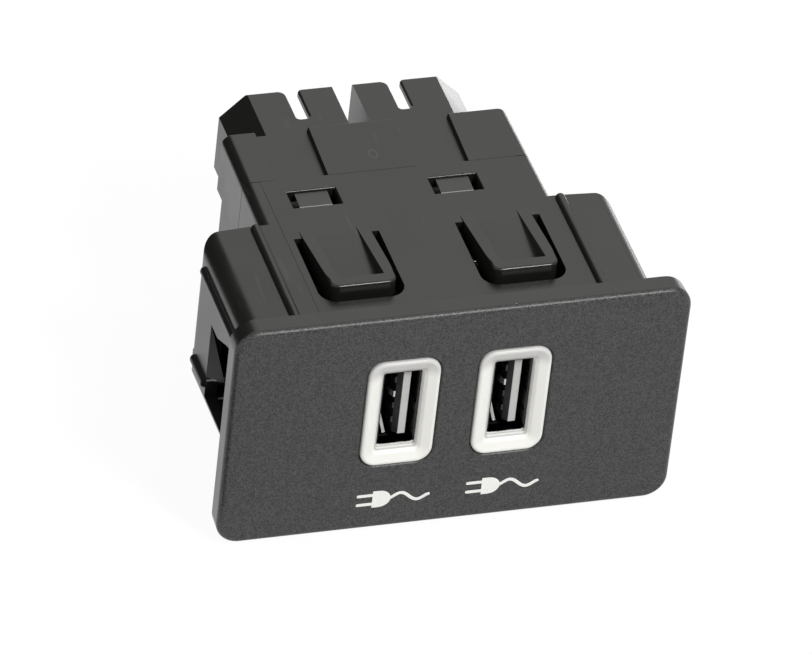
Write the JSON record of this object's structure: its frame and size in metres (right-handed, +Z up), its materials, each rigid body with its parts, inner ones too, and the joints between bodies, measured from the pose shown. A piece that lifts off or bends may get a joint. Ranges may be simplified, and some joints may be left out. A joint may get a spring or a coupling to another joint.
{
  "type": "usb media hub",
  "caption": "Rectangular bezel with two upright charging ports in white rings, clip-in body behind it with spring latches and a push-fit rear cover with two plug shrouds.",
  "frame": {"origin": "centre of the bezel's rear face, the plane that seats on the panel round the opening", "axes": "+X along the bezel to the user's right, +Y back into the panel, +Z up; the user sees the -Y side"},
  "size_m": [0.0664, 0.0607, 0.0372],
  "materials": {
    "housing_plastic": "moulded satin black, fine grained bezel",
    "cover_plastic": "moulded satin black",
    "light_guide": "milky white, smooth",
    "shell_steel": "bright tin plated sheet",
    "insulator_plastic": "moulded black",
    "tongue_plastic": "moulded black, light front edge",
    "contact_metal": "gold plated strip",
    "board": "green solder resist over glass fibre laminate",
    "chip_resin": "moulded resin",
    "core_ferrite": "pressed ferrite, dull",
    "can_aluminium": "bright drawn can",
    "ceramic_body": "fired ceramic with tinned ends",
    "crystal_lid": "plated lid",
    "lamp_lens": "clear resin over a yellow layer",
    "pin_metal": "tin plated square wire"
  },
  "bodies": {
    "root": {"front_housing": "housing_plastic", "rear_cover": "cover_plastic", "light_guide_left": "light_guide", "light_guide_right": "light_guide", "port_shell_left": "shell_steel", "port_shell_right": "shell_steel", "port_insulator_left": "tongue_plastic", "port_insulator_right": "tongue_plastic", "port_contacts_left": "contact_metal", "port_contacts_right": "contact_metal", "circuit_board": "board", "hub_chip": "chip_resin", "power_chip": "chip_resin", "surge_chips": "chip_resin", "power_inductor": "core_ferrite", "bulk_capacitors": "can_aluminium", "ceramic_capacitors": "ceramic_body", "resistors": "chip_resin", "resettable_fuse": "ceramic_body", "clock_crystal": "crystal_lid", "ring_lamps": "lamp_lens", "data_pin_header": "insulator_plastic", "data_pins": "pin_metal", "power_pin_header": "insulator_plastic", "power_pins": "pin_metal"}
  },
  "joints": []
}
